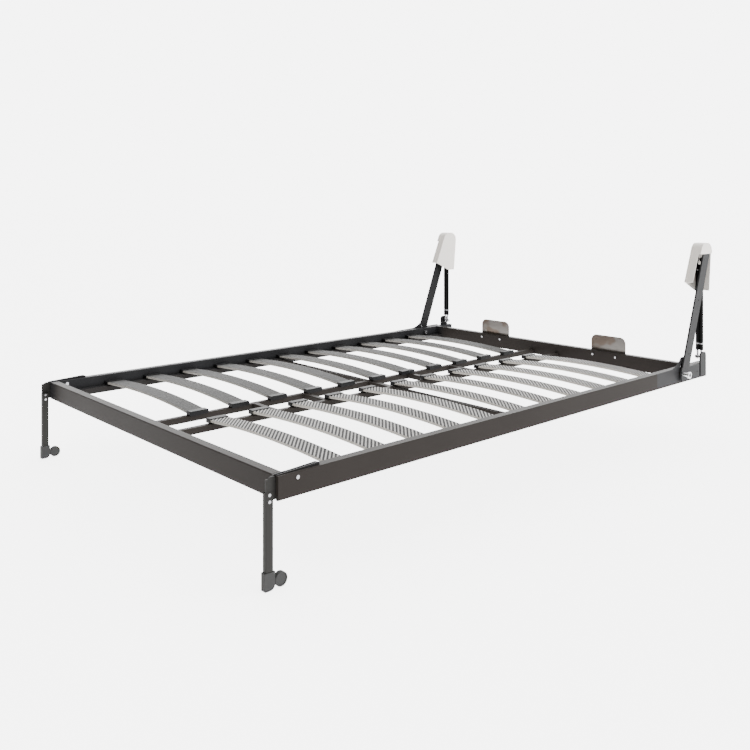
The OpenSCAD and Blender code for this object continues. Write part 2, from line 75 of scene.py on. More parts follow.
# From the bed's own axes, as the part's source has them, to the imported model's axes
BED_Y = -1043.8768
BED_Z = 208.0
# Where the rails and brackets take their darker tone along X: painted shade for the dimmer light
# on the left
FAR_SIDE = (-0.68, -0.6)
# Squares of distances from the middle where the studs leave the brackets and a painted highlight
# begins
STUD_OUTSIDE = (0.5053, 0.5060)
# Marks between which the floor and the surround grow pale, from the front to the bed
FLOOR_FADE = (-3.6, -1.4)
SKY_FADE = (-0.5, 0.2)


class Side(Enum):
    """The two sides of the bed, seen from its foot, with the sign of X on each."""

    RIGHT = 1
    LEFT = -1

    @property
    def word(self) -> str:
        """Returns the word that starts this side's node names."""
        return self.name.lower()


class Facing(Enum):
    """The direction in which a plated surface was brushed, as how far its lines are drawn out."""

    ACROSS = (12.0, 500.0, 700.0)
    NONE = (260.0, 260.0, 260.0)


def bed(x: Any, y: Any, z: Any) -> np.ndarray:
    """Turns points of the bed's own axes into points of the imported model.

    Args:
        x: Distance to the right of the middle, in mm; a number or an array.
        y: Distance from the foot rail's outer face, in mm.
        z: Height above the underside of the rails, in mm.

    Returns:
        An array whose last axis holds X, Y and Z in metres.
    """
    x, y, z = np.broadcast_arrays(np.asarray(x, float), np.asarray(y, float), np.asarray(z, float))
    return np.stack([x, y + BED_Y, z + BED_Z], axis=-1) * MM


# Shader building

class Value:
    """One value in a shader. Sums written on it add Math nodes."""

    def __init__(self, net: "Net", socket: Any) -> None:
        """Keeps the net that owns the socket, and the socket."""
        self.net = net
        self.socket = socket

    def _sum(self, operation: str, other: Any = None, swapped: bool = False) -> "Value":
        """Adds one Math node.

        Args:
            operation: Blender's name for the sum.
            other: The other value or number, if the sum takes two.
            swapped: Whether the other value comes first.

        Returns:
            The result of the sum.
        """
        terms = [self] if other is None else [self, other]
        if swapped:
            terms.reverse()
        made = self.net.node("ShaderNodeMath", {"operation": operation}, dict(enumerate(terms)))
        return Value(self.net, made.outputs[0])

    def __add__(self, other: Any) -> "Value":
        """Returns the sum of both."""
        return self._sum("ADD", other)

    def __radd__(self, other: Any) -> "Value":
        """Returns the sum of both."""
        return self._sum("ADD", other)

    def __sub__(self, other: Any) -> "Value":
        """Returns this value less the other."""
        return self._sum("SUBTRACT", other)

    def __rsub__(self, other: Any) -> "Value":
        """Returns the other value less this one."""
        return self._sum("SUBTRACT", other, swapped=True)

    def __mul__(self, other: Any) -> "Value":
        """Returns the product of both."""
        return self._sum("MULTIPLY", other)

    def __rmul__(self, other: Any) -> "Value":
        """Returns the product of both."""
        return self._sum("MULTIPLY", other)

    def sine(self) -> "Value":
        """Returns the sine of this value in radians."""
        return self._sum("SINE")


class Net:
    """The node tree of one material."""

    def __init__(self, name: str) -> None:
        """Makes an empty material with one surface shader, under the name given."""
        self.material = bpy.data.materials.new(name)
        self.material.use_nodes = True
        self.tree = self.material.node_tree
        self.tree.nodes.clear()
        self.shader = self.tree.nodes.new("ShaderNodeBsdfPrincipled")
        end = self.tree.nodes.new("ShaderNodeOutputMaterial")
        self.tree.links.new(self.shader.outputs[0], end.inputs["Surface"])

    @classmethod
    def over(cls, tree: bpy.types.NodeTree) -> "Net":
        """Returns a net over a node tree that is there already."""
        net = cls.__new__(cls)
        net.tree = tree
        return net

    def node(self, kind: str, settings: dict[str, Any], inputs: dict[Any, Any]) -> Any:
        """Adds one node.

        Args:
            kind: Blender's type name of the node.
            settings: Properties to set first.
            inputs: Values, numbers or links for its sockets, by name or index.

        Returns:
            The new node.
        """
        made = self.tree.nodes.new(kind)
        for key, value in settings.items():
            setattr(made, key, value)
        for key, value in inputs.items():
            if isinstance(value, Value):
                self.tree.links.new(value.socket, made.inputs[key])
            else:
                made.inputs[key].default_value = value
        return made

    def place(self, scale: tuple[float, float, float] = (1.0, 1.0, 1.0)) -> Value:
        """Returns the object coordinates, each axis scaled by the number given."""
        source = self.node("ShaderNodeTexCoord", {}, {})
        mapped = self.node("ShaderNodeMapping", {}, {
            "Vector": Value(self, source.outputs["Object"]), "Scale": scale})
        return Value(self, mapped.outputs[0])

    def held(self, name: str) -> Value:
        """Returns the number that a piece keeps at each vertex under the name given."""
        made = self.node("ShaderNodeAttribute", {"attribute_name": name}, {})
        return Value(self, made.outputs["Fac"])

    def parts(self, vector: Value) -> list[Value]:
        """Returns the three numbers of a vector."""
        made = self.node("ShaderNodeSeparateXYZ", {}, {0: vector})
        return [Value(self, socket) for socket in made.outputs]

    def noise(self, where: Value, scale: float, detail: float = 2.0) -> Value:
        """Returns smooth noise from 0 to 1.

        Args:
            where: The coordinates that the noise follows.
            scale: How many cells there are in one unit of the coordinates.
            detail: How many finer layers are added.

        Returns:
            The noise value.
        """
        made = self.node("ShaderNodeTexNoise", {}, {
            "Vector": where, "Scale": scale, "Detail": detail, "Roughness": 0.55})
        return Value(self, made.outputs["Fac"])

    def step(self, value: Value, low: float, high: float) -> Value:
        """Returns 0 under the low mark and 1 over the high mark, with a smooth rise between."""
        made = self.node("ShaderNodeMapRange", {"interpolation_type": "SMOOTHSTEP"}, {
            "Value": value, "From Min": low, "From Max": high})
        return Value(self, made.outputs["Result"])

    def mix(self, share: Any, first: Any, second: Any) -> Value:
        """Mixes two colours.

        Args:
            share: How much of the second colour shows, from 0 to 1.
            first: The first colour, as a value or three numbers.
            second: The second colour, as a value or three numbers.

        Returns:
            The mixed colour.
        """
        first, second = (c if isinstance(c, Value) else (*c, 1.0) for c in (first, second))
        made = self.node("ShaderNodeMix", {"data_type": "RGBA"}, {0: share, 6: first, 7: second})
        return Value(self, made.outputs[2])

    def relief(self, height: Value, depth: float) -> Value:
        """Returns the normal of a surface that the height raises by up to the depth in metres."""
        made = self.node("ShaderNodeBump", {}, {"Height": height, "Distance": depth})
        return Value(self, made.outputs[0])

    def surface(self, sockets: dict[str, Any]) -> bpy.types.Material:
        """Sets the surface shader's sockets, by name, and returns the material."""
        for key, value in sockets.items():
            if isinstance(value, Value):
                self.tree.links.new(value.socket, self.shader.inputs[key])
            else:
                self.shader.inputs[key].default_value = value
        return self.material


def shade(colour: tuple[float, float, float], by: float) -> tuple[float, float, float]:
    """Returns the colour with each channel multiplied by the number given."""
    return tuple(channel * by for channel in colour)


# Finishes

@dataclass(frozen=True)
class PowderCoat:
    """Satin powder coat on steel: orange peel, slight changes of tone and pale dust and rubs.

    Pieces on the left side of the bed take a second, darker tone: painted shade for the dimmer
    light there.
    """

    name: str
    colour: tuple[float, float, float]
    roughness: float = 0.36
    bending: float = 1.08
    far: tuple[float, float, float] | None = None
    peel: float = 0.00003
    rubs: float = 0.3

    def make(self) -> bpy.types.Material:
        """Returns the material."""
        net = Net(self.name)
        where = net.place()
        broad = net.noise(where, 5.0, 3.0)
        peel = net.noise(where, 620.0, 2.0)
        fleck = net.noise(where, 2400.0, 1.0)
        rub = net.step(net.noise(net.place((1.0, 0.35, 1.4)), 70.0, 6.0), 0.62, 0.8) * self.rubs
        tone = net.mix(broad, shade(self.colour, 0.86), shade(self.colour, 1.16))
        tone = net.mix(net.step(fleck, 0.52, 0.78) * 0.3, tone, shade(self.colour, 1.7))
        tone = net.mix(rub * 0.25, tone, shade(self.colour, 2.6))
        # Painted shade: left of FAR_SIDE the coat takes the darker tone.
        if self.far:
            across, _, _ = net.parts(where)
            far = net.mix(broad, shade(self.far, 0.86), shade(self.far, 1.16))
            tone = net.mix(net.step(across, *FAR_SIDE), far, tone)
        rough = self.roughness + (broad - 0.5) * 0.1 + rub * 0.12
        return net.surface({"Base Color": tone, "Roughness": rough, "IOR": self.bending,
                            "Normal": net.relief(peel + fleck * 0.25, self.peel)})


@dataclass(frozen=True)
class Plating:
    """Bright or satin plated steel, brushed one way or barrel plated.

    The tone given as "outer" is a painted highlight that makes the studs outside the brackets
    brighter, and the one given as "cast" drifts across the surface in broad soft clouds.
    """

    name: str
    colour: tuple[float, float, float]
    roughness: float
    facing: Facing = Facing.NONE
    depth: float = 0.00001
    outer: tuple[float, float, float] | None = None
    cast: tuple[float, float, float] | None = None

    def make(self) -> bpy.types.Material:
        """Returns the material."""
        net = Net(self.name)
        lines = net.noise(net.place(self.facing.value), 1.0, 4.0)
        cloud = net.noise(net.place(), 30.0, 5.0)
        spots = net.step(net.noise(net.place(), 420.0, 3.0), 0.66, 0.8)
        tone = net.mix(lines, shade(self.colour, 0.84), shade(self.colour, 1.08))
        # Painted highlight: the studs' ends outside the brackets are drawn brighter.
        if self.outer:
            across, _, _ = net.parts(net.place())
            tone = net.mix(net.step(across * across, *STUD_OUTSIDE), tone, self.outer)
        if self.cast:
            drift = net.step(net.noise(net.place((1.0, 1.0, 1.6)), 16.0, 1.0), 0.42, 0.6)
            tone = net.mix(drift, tone, self.cast)
        tone = net.mix(cloud * 0.3, tone, shade(self.colour, 0.72))
        tone = net.mix(spots * 0.25, tone, shade(self.colour, 0.5))
        rough = self.roughness + (lines - 0.5) * 0.14 + (cloud - 0.5) * 0.1 + spots * 0.1
        return net.surface({"Base Color": tone, "Roughness": rough, "Metallic": 1.0,
                            "Normal": net.relief(lines, self.depth)})


@dataclass(frozen=True)
class Moulding:
    """Moulded plastic or rubber with a fine spark finish and light handling marks."""

    name: str
    colour: tuple[float, float, float]
    roughness: float
    texture: float = 0.00004
    marks: float = 0.3
    shine: float = 0.3

    def make(self) -> bpy.types.Material:
        """Returns the material."""
        net = Net(self.name)
        where = net.place()
        broad = net.noise(where, 12.0, 4.0)
        spark = net.noise(where, 1500.0, 2.0)
        rub = net.step(net.noise(net.place((1.0, 1.0, 0.4)), 110.0, 6.0), 0.6, 0.82) * self.marks
        tone = net.mix(broad, shade(self.colour, 0.93), shade(self.colour, 1.05))
        tone = net.mix(rub * 0.35, tone, tuple(0.5 * c + 0.14 for c in self.colour))
        rough = self.roughness + (spark - 0.5) * 0.08 + rub * 0.15
        return net.surface({"Base Color": tone, "Roughness": rough, "IOR": 1.47,
                            "Specular IOR Level": self.shine,
                            "Normal": net.relief(spark + broad * 0.6, self.texture)})


@dataclass(frozen=True)
class GlossPaint:
    """Smooth gloss paint, as on a gas spring's cylinder, with fine dust and hair scratches."""

    name: str
    colour: tuple[float, float, float]

    def make(self) -> bpy.types.Material:
        """Returns the material."""
        net = Net(self.name)
        sag = net.noise(net.place(), 45.0, 2.0)
        dust = net.step(net.noise(net.place(), 900.0, 4.0), 0.6, 0.8)
        hair = net.step(net.noise(net.place((900.0, 900.0, 22.0)), 1.0, 2.0), 0.7, 0.78)
        tone = net.mix(dust * 0.3, self.colour, (0.006, 0.006, 0.006))
        tone = net.mix(hair * 0.3, tone, (0.01, 0.01, 0.01))
        return net.surface({"Base Color": tone, "Roughness": 0.11 + dust * 0.2 + hair * 0.12,
                            "Specular IOR Level": 0.03, "Coat Weight": 0.012,
                            "Coat Roughness": 0.06, "Normal": net.relief(sag, 0.00008)})


@dataclass(frozen=True)
class Bronze:
    """Bearing bronze drawn dark, a painted shade of its gap, with turning marks and a brown
    tarnish.
    """

    name: str

    def make(self) -> bpy.types.Material:
        """Returns the material."""
        net = Net(self.name)
        turning = net.noise(net.place((2200.0, 90.0, 90.0)), 1.0, 2.0)
        tarnish = net.noise(net.place(), 160.0, 5.0)
        # Both tones are kept dark as painted shade of the gap between rail and bracket.
        tone = net.mix(tarnish, (0.030, 0.023, 0.013), (0.014, 0.011, 0.007))
        return net.surface({"Base Color": tone, "Roughness": 0.3 + tarnish * 0.22,
                            "Metallic": 1.0, "Normal": net.relief(turning, 0.00001)})


@dataclass(frozen=True)
class SlatFoil:
    """Coated bent plywood: dark diagonal bars with a fine weave on its faces, pale plain edges;
    the left column's slats, faces and edges, are drawn darker as painted shade.
    """

    name: str
    pale: tuple[float, float, float] = (0.215, 0.210, 0.203)
    dark: tuple[float, float, float] = (0.0055, 0.0055, 0.0055)
    # The two tones below are painted shade: the left column's slats are drawn darker.
    far_pale: tuple[float, float, float] = (0.043, 0.0425, 0.0415)
    far_dark: tuple[float, float, float] = (0.0155, 0.0155, 0.0155)
    edge: tuple[float, float, float] = (0.25, 0.238, 0.218)
    ply: float = 0.0016

    def make(self) -> bpy.types.Material:
        """Returns the material.

        The piece keeps the phase of the bars as "bar", how far the surface turns into the edge as
        "side", and its height in the section as "ply".
        """
        net = Net(self.name)
        weave_at = net.place((1.0, 1.0, 1.0))
        across, along, _ = net.parts(weave_at)
        threads = (across * 2900.0).sine() * (along * 2900.0).sine()
        wander = (net.noise(weave_at, 90.0, 3.0) - 0.5) * 0.5
        bars = net.step((net.held("bar") * math.tau + wander).sine() + threads * 0.25, -0.5, 0.0)
        side = net.step(net.held("side"), 0.25, 0.6)
        # Painted shade: the left column (negative X) takes the darker tones.
        bright_share = net.step(across, -0.04, 0.04)
        face = net.mix(bars, net.mix(bright_share, self.far_pale, self.pale),
                       net.mix(bright_share, self.far_dark, self.dark))
        face = net.mix(net.step(threads, 0.1, 0.9) * 0.15, face, (0.10, 0.10, 0.098))
        plies = (net.held("ply") * (math.tau / self.ply)).sine()
        grain = net.noise(net.place((14.0, 500.0, 500.0)), 1.0, 5.0)
        edge = net.mix(net.step(plies, 0.55, 0.95) * 0.28, self.edge, shade(self.edge, 0.5))
        edge = net.mix(grain * 0.3, edge, shade(self.edge, 0.72))
        # Painted shade: the left column's edges are drawn darker too.
        edge = net.mix(bright_share, net.mix(0.55, edge, self.far_pale), edge)
        tone = net.mix(side, face, edge)
        height = threads * (1.0 - side) + bars * 0.6 * (1.0 - side) + grain * side
        return net.surface({"Base Color": tone, "Roughness": 0.5 + bars * 0.08 + grain * 0.06,
                            "IOR": 1.12, "Normal": net.relief(height, 0.00006)})


@dataclass(frozen=True)
class FloorPaint:
    """Pale studio floor that gives back light of its own, and is duller in front of the bed."""

    name: str
    colour: tuple[float, float, float] = (0.5, 0.5, 0.5)
    front: tuple[float, float, float] = (0.25, 0.235, 0.22)
    glow: float = 4.2

    def make(self) -> bpy.types.Material:
        """Returns the material."""
        net = Net(self.name)
        where = net.place()
        across, along, _ = net.parts(where)
        bright_share = net.step(along + across * 0.33, *FLOOR_FADE)
        pale = net.mix(net.noise(where, 2.0, 2.0), self.colour, shade(self.colour, 0.985))
        return net.surface({"Base Color": net.mix(bright_share, self.front, pale), "Roughness": 0.8,
                            "Specular IOR Level": 0.1,
                            "Emission Color": net.mix(bright_share, (0.09, 0.082, 0.075), (1.0, 1.0, 1.0)),
                            "Emission Strength": self.glow})


class Finishes:
    """Every finish of the mechanism, made once, under the record's slot names."""

    def __init__(self) -> None:
        """Makes the materials."""
        finishes = {
            # The darker tones of the rail and bracket coats on the left are painted shade.
            "rail_grey": PowderCoat("rail_grey_coat", (0.0134, 0.0116, 0.0106),
                                    far=(0.0108, 0.0110, 0.0118)),
            "bracket_grey": PowderCoat("bracket_grey_coat", (0.0140, 0.0140, 0.0146), 0.45, 1.12,
                                       (0.0070, 0.0070, 0.0072)),
            "dark_steel": PowderCoat("dark_steel_coat", (0.0136, 0.0133, 0.0125), 0.4, 1.12),
            "cover_white": Moulding("cover_white_plastic", (0.44, 0.418, 0.390), 0.42, 0.00003),
            # The outer tone of the bright zinc is a painted highlight on the studs' ends.
            "bright_zinc": Plating("bright_zinc_plating", (0.27, 0.27, 0.28), 0.26,
                                   outer=(0.52, 0.52, 0.53)),
            "plate_zinc": Plating("satin_zinc_plating", (0.125, 0.101, 0.084), 0.36, Facing.ACROSS,
                                  cast=(0.165, 0.158, 0.150)),
            "black_plastic": Moulding("black_holder_plastic", (0.0040, 0.0040, 0.0044), 0.45,
                                      shine=0.08),
            "slat_finish": SlatFoil("slat_woven_foil"),
            "spring_black": GlossPaint("spring_gloss_black", (0.0014, 0.0014, 0.0015)),
            "foot_rubber": Moulding("foot_dark_rubber", (0.0225, 0.0225, 0.0225), 0.62, 0.00008,
                                    0.3, 0.06),
            "bush_bronze": Bronze("bush_bronze"),
        }
        self.made = {slot: finish.make() for slot, finish in finishes.items()}

    def __getitem__(self, slot: str) -> bpy.types.Material:
        """Returns the material of a slot."""
        return self.made[slot]


# Making and dressing pieces

def tube_mesh(name: str, rings: np.ndarray, looped: bool = False,
              keeps: dict[str, np.ndarray] | None = None) -> bpy.types.Object:
    """Joins rings of points into closed tubes.

    Point j of ring i is joined to its next point and to the same points of ring i + 1, by
    four-sided faces. The end rings are closed by one face each, unless the tube is a loop.

    Args:
        name: Name of the piece.
        rings: Points in metres, indexed by tube, ring, point round the ring, and axis.
        looped: Whether each tube's last ring joins its first.
        keeps: Numbers for the material to read, one per point, indexed as the rings are.

    Returns:
        The new object, linked to the scene.
    """
    tubes, count, around, _ = rings.shape
    index = np.arange(tubes * count * around).reshape(tubes, count, around)
    start = index if looped else index[:, :-1]
    ahead = np.roll(index, -1, axis=1) if looped else index[:, 1:]
    quads = np.stack([start, np.roll(start, -1, 2), np.roll(ahead, -1, 2), ahead], -1)
    quads = quads.reshape(-1, 4)
    caps = np.empty((0, around), int)
    if not looped:
        caps = np.concatenate([index[:, 0, ::-1], index[:, -1]])
    corners = np.concatenate([quads.ravel(), caps.ravel()])
    starts = np.concatenate([np.arange(len(quads)) * 4,
                             len(quads) * 4 + np.arange(len(caps)) * around])
    mesh = bpy.data.meshes.new(name)
    mesh.vertices.add(index.size)
    mesh.vertices.foreach_set("co", rings.astype(np.float32).ravel())
    mesh.loops.add(len(corners))
    mesh.loops.foreach_set("vertex_index", corners.astype(np.int32))
    mesh.polygons.add(len(starts))
    mesh.polygons.foreach_set("loop_start", starts.astype(np.int32))
    mesh.update(calc_edges=True)
    for key, values in (keeps or {}).items():
        held = mesh.attributes.new(key, "FLOAT", "POINT")
        held.data.foreach_set("value", values.astype(np.float32).ravel())
    net = bmesh.new()
    net.from_mesh(mesh)
    bmesh.ops.recalc_face_normals(net, faces=net.faces)
    net.to_mesh(mesh)
    net.free()
    mesh.polygons.foreach_set("use_smooth", np.ones(len(mesh.polygons), bool))
    mesh.set_sharp_from_angle(angle=math.radians(40))
    piece = bpy.data.objects.new(name, mesh)
    bpy.context.scene.collection.objects.link(piece)
    return piece


def settle(piece: bpy.types.Object, body: str, slot: str, finishes: Finishes,
           stands_for: Iterable[str] = ()) -> None:
    """Dresses a new piece and ties it to what carries it.

    Args:
        piece: The piece.
        body: The body that it rides on.
        slot: The record's material slot.
        finishes: The materials.
        stands_for: Nodes that it replaces.
    """
    piece.data.materials.clear()
    piece.data.materials.append(finishes[slot])
    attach(piece, body)
    stands_for = tuple(stands_for)
    if stands_for:
        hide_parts(*stands_for)
    log.info("%s: %d faces, on %s, %s", piece.name, len(piece.data.polygons), body, slot)


def dress(names: Iterable[str], slot: str, finishes: Finishes) -> None:
    """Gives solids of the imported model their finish, in their own material slots."""
    for name in names:
        solid = frame["nodes"][name]
        for place in solid.material_slots:
            place.material = finishes[slot]
        log.info("%s: kept, %s", name, slot)


def body_of(name: str) -> str:
    """Returns the body that carries a node."""
    return frame["nodes"][name]["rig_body"]


def soften(names: Iterable[str], width: float, slot: str, finishes: Finishes,
           turns: int = 2) -> None:
    """Shows solids as copies whose sharp edges are broken, as a tumbled or moulded piece's are.

    Args:
        names: Nodes to copy and stand for.
        width: Width of the broken edge in metres.
        slot: The record's material slot.
        finishes: The materials.
        turns: Number of faces round the broken edge.
    """
    for name in names:
        mesh = frame["nodes"][name].data.copy()
        if "custom_normal" in mesh.attributes:
            mesh.attributes.remove(mesh.attributes["custom_normal"])
        net = bmesh.new()
        net.from_mesh(mesh)
        bmesh.ops.remove_doubles(net, verts=net.verts, dist=2e-6)
        bmesh.ops.dissolve_limit(net, angle_limit=math.radians(0.4), verts=net.verts,
                                 edges=net.edges)
        net.to_mesh(mesh)
        net.free()
        mesh.polygons.foreach_set("use_smooth", np.ones(len(mesh.polygons), bool))
        piece = bpy.data.objects.new(f"{name}_finished", mesh)
        bpy.context.scene.collection.objects.link(piece)
        edge = piece.modifiers.new("broken_edges", "BEVEL")
        edge.width = width
        edge.segments = turns
        edge.limit_method = "ANGLE"
        edge.angle_limit = math.radians(32)
        edge.harden_normals = True
        edge.use_clamp_overlap = True
        settle(piece, body_of(name), slot, finishes, [name])


def turned(name: str, profile: Iterable[tuple[float, float]],
           axis: tuple[float, float]) -> bpy.types.Object:
    """Makes one turned piece on each side of the bed, about an axis along X.

    Args:
        name: Name of the piece.
        profile: Distances along X and radii in mm, for the right side.
        axis: Y and Z of the axis in the bed's own axes.

    Returns:
        The new piece.
    """
    x, radius = (column[:, None] for column in np.array(list(profile), float).T)
    turn = np.linspace(0.0, math.tau, 40, endpoint=False)[None, :]
    rings = np.stack([bed(side.value * x + 0.0 * turn, axis[0] + radius * np.cos(turn),
                          axis[1] + radius * np.sin(turn)) for side in Side])
    return tube_mesh(name, rings)


# Sub-assemblies

@dataclass
class BedFrame:
    """Welded tube frame: rails, slat ledges, centre rails, ties and crossbar, with weld beads."""

    finishes: Finishes
    bead_r: float = 3.0
    rail_in: float = 670.0
    foot_in: float = 30.0
    head_in: float = 1974.0
    ledge_in: float = 636.0
    centre: tuple[float, float] = (57.5, 77.5)
    support_top: float = 22.0
    tie_rows: tuple[float, ...] = (450.0, 661.0, 1175.0, 1415.0)
    crossbar: tuple[float, float] = (960.0, 985.0)

    def seams(self) -> list[tuple[tuple[float, ...], ...]]:
        """Lists the welded corners of the frame.

        Returns:
            For each seam its start and end in the bed's axes, and the two directions away from
            the corner along the faces that it joins.
        """
        found = []
        for side in Side:
            s = side.value
            for y, away in ((self.foot_in, 1.0), (self.head_in, -1.0)):
                corner = (s * self.rail_in, y)
                found.append(((*corner, 24.0), (*corner, 54.0), (-s, 0.0, 0.0), (0.0, away, 0.0)))
                for x, turn in ((self.ledge_in, -1.0), (self.centre[0], -1.0),
                                (self.centre[1], 1.0)):
                    found.append(((s * x, y, 4.0), (s * x, y, 20.0), (s * turn, 0.0, 0.0),
                                  (0.0, away, 0.0)))
                for low, high in ((self.ledge_in, self.rail_in), self.centre):
                    found.append(((s * (low + 2.0), y, self.support_top),
                                  (s * (high - 2.0), y, self.support_top),
                                  (0.0, 0.0, 1.0), (0.0, away, 0.0)))
            for row in self.tie_rows:
                for y, away in ((row - 10.0, -1.0), (row + 10.0, 1.0)):
                    found.append(((s * self.centre[0], y, 5.0), (s * self.centre[0], y, 20.0),
                                  (-s, 0.0, 0.0), (0.0, away, 0.0)))
            for x, turn in ((self.centre[0], -1.0), (self.centre[1], 1.0), (self.ledge_in, -1.0)):
                for y, away in zip(self.crossbar, (-1.0, 1.0)):
                    found.append(((s * x, y, 2.0), (s * x, y, 19.0), (s * turn, 0.0, 0.0),
                                  (0.0, away, 0.0)))
        return found

    def beads(self) -> bpy.types.Object:
        """Makes the weld beads.

        A bead is a quarter round that fills a corner. Its radius swells and shrinks in 18 even
        ripples along the seam and falls to nothing at both ends as the root of 1 - t^6 does.
        """
        seams = np.array([[*map(np.array, seam)] for seam in self.seams()], float)
        start, end, first, second = (seams[:, k] for k in range(4))
        t = np.linspace(-1.0, 1.0, 55)
        radius = self.bead_r * (1.0 + 0.07 * np.cos(18 * math.pi * (t + 1.0))) \
            * np.sqrt(np.clip(1.0 - t ** 6, 0.0004, 1.0))
        turn = np.linspace(0.0, math.pi / 2, 7)
        bulge = 0.78 + 0.14 * np.sin(2 * turn)
        section = np.concatenate([np.array([[-0.25, -0.25]]),
                                  np.stack([np.cos(turn), np.sin(turn)], -1) * bulge[:, None]])
        along = (start + end)[:, None] / 2 + (end - start)[:, None] / 2 * t[None, :, None]
        size = radius[None, :, None, None]
        rings = along[:, :, None] + size * (
            section[None, None, :, :1] * first[:, None, None]
            + section[None, None, :, 1:] * second[:, None, None])
        return tube_mesh("frame_weld_beads", bed(rings[..., 0], rings[..., 1], rings[..., 2]))

    def build(self) -> None:
        """Dresses the frame and adds its beads."""
        pairs = [f"{side.word}_{part}" for side in Side
                 for part in ("side_rail", "slat_ledge", "centre_rail")]
        dress([*pairs, "foot_rail", "head_rail", "cross_ties", "mid_crossbar"], "rail_grey",
              self.finishes)
        settle(self.beads(), "bed_frame", "rail_grey", self.finishes)


@dataclass
class SlatColumns:
    """Two columns of bowed slats, held at each end in black plastic sleeves."""

    finishes: Finishes
    count: int = 11
    first: float = 199.0
    pitch: float = 155.0
    width: float = 63.0
    thick: float = 8.0
    edge_r: float = 2.5
    inner: float = 50.5
    outer: float = 667.0
    rise: float = 14.0
    end_z: float = 23.9
    bar_pitch: tuple[float, float] = (15.1, 13.9)

    def section(self) -> np.ndarray:
        """Works out the slat's section.

        A rectangle as wide and thick as the slat, whose corners are quarter circles; each long
        face has seven more points, so that its bars stay sharp.

        Returns:
            For each point its distance across, its height, and how far it turns into the edge.
        """
        arc = np.linspace(0.0, math.pi / 2, 6)
        half, r = self.width / 2, self.edge_r
        corner = np.stack([half - r + r * np.sin(arc), self.thick - r + r * np.cos(arc),
                           np.sin(arc)], -1)
        top = np.linspace(-(half - r), half - r, 9)[1:-1]
        top = np.stack([top, np.full(7, self.thick), np.zeros(7)], -1)
        flip = np.array([1.0, -1.0, 1.0])
        drop = np.array([0.0, self.thick, 0.0])
        right = np.concatenate([corner, corner[::-1] * flip + drop])
        left = right[::-1] * np.array([-1.0, 1.0, 1.0])
        return np.concatenate([top, right, (top * flip + drop)[::-1], left])

    def pair(self, number: int) -> bpy.types.Object:
        """Makes one row's two slats.

        The section is carried along a level arc far below it: at the angle a the point at the
        height h lies at x = middle + (R + h) sin a and z = end + rise - R + (R + h) cos a.

        Args:
            number: The row, from 0 at the foot.

        Returns:
            The new piece.
        """
        half = (self.outer - self.inner) / 2
        middle = (self.outer + self.inner) / 2
        radius = (half * half + self.rise * self.rise) / (2 * self.rise)
        angle = np.linspace(-1.0, 1.0, 49)[:, None] * math.asin(half / radius)
        across, height, side = (column[None] for column in self.section().T)
        y = self.first + self.width / 2 + number * self.pitch + across
        x = middle + (radius + height) * np.sin(angle)
        z = self.end_z + self.rise - radius + (radius + height) * np.cos(angle)
        y, side, ply = (np.broadcast_to(grid, x.shape) for grid in (y, side, height * MM))
        bar = x / self.bar_pitch[0] + y / self.bar_pitch[1]
        rings = np.stack([bed(side_of.value * x, y, z) for side_of in Side])
        keeps = {"bar": np.stack([bar, bar]), "side": np.stack([side, side]),
                 "ply": np.stack([ply, ply])}
        return tube_mesh(f"bowed_slats_{number + 1:02d}", rings, keeps=keeps)

    def build(self) -> None:
        """Makes the slats and shows the sleeves with broken edges."""
        for number in range(self.count):
            settle(self.pair(number), "bed_frame", "slat_finish", self.finishes,
                   [f"slat_pair_{number + 1:02d}"])
        places = [(side, place) for side in Side for place in ("outer", "inner")]
        soften([f"{side.word}_{place}_slat_holders" for side, place in places], 0.9 * MM,
               "black_plastic", self.finishes)


@dataclass
class HeadHinges:
    """Hinge plates, spring ears, bushes and their bolts at the head of the frame."""

    finishes: Finishes
    edge: float = 0.5 * MM
    pivot_y: float = 1888.0
    plate_x: tuple[float, float] = (695.55, 699.95)
    rise_r: float = 131.0
    packed_r: float = 46.0

    def rises(self) -> bpy.types.Object:
        """Makes the long hollow rises of the hinge plates, over the short ones of the solids.

        Seen from the side, the upper edge is an arc of radius R that starts level, 80 mm before
        the pivot: y = pivot - 80 + R sin t and z = 58.3 + R (1 - cos t). The lower edge runs 1 mm
        inside the solid's own arc, about the point 37 mm before the pivot at the height 107.

        Returns:
            The new piece.
        """
        t = np.radians(np.linspace(0.0, 45.8, 16))
        upper = np.stack([self.pivot_y - 80.0 + self.rise_r * np.sin(t),
                          58.3 + self.rise_r * (1.0 - np.cos(t))], -1)
        t = np.radians(np.linspace(-15.0, -90.0, 12))
        lower = np.stack([self.pivot_y - 37.0 + (self.packed_r + 1.0) * np.cos(t),
                          107.0 + (self.packed_r + 1.0) * np.sin(t)], -1)
        outline = np.concatenate([upper, lower, [[self.pivot_y - 80.0, 57.5]]])
        rings = np.stack([np.stack([bed(side.value * x, *outline.T) for x in self.plate_x])
                          for side in Side])
        return tube_mesh("hinge_rises", rings)

    def build(self) -> None:
        """Dresses the plates and fasteners and adds the rises."""
        settle(self.rises(), "bed_frame", "bracket_grey", self.finishes)
        soften([f"{side.word}_{part}" for side in Side for part in ("hinge_plate", "spring_ear")],
               self.edge, "bracket_grey", self.finishes)
        soften(["hinge_rivets"], 1.0 * MM, "bright_zinc", self.finishes, turns=3)
        soften(["ear_bolts"], 0.2 * MM, "bracket_grey", self.finishes)
        dress(["pivot_bushes"], "bush_bronze", self.finishes)


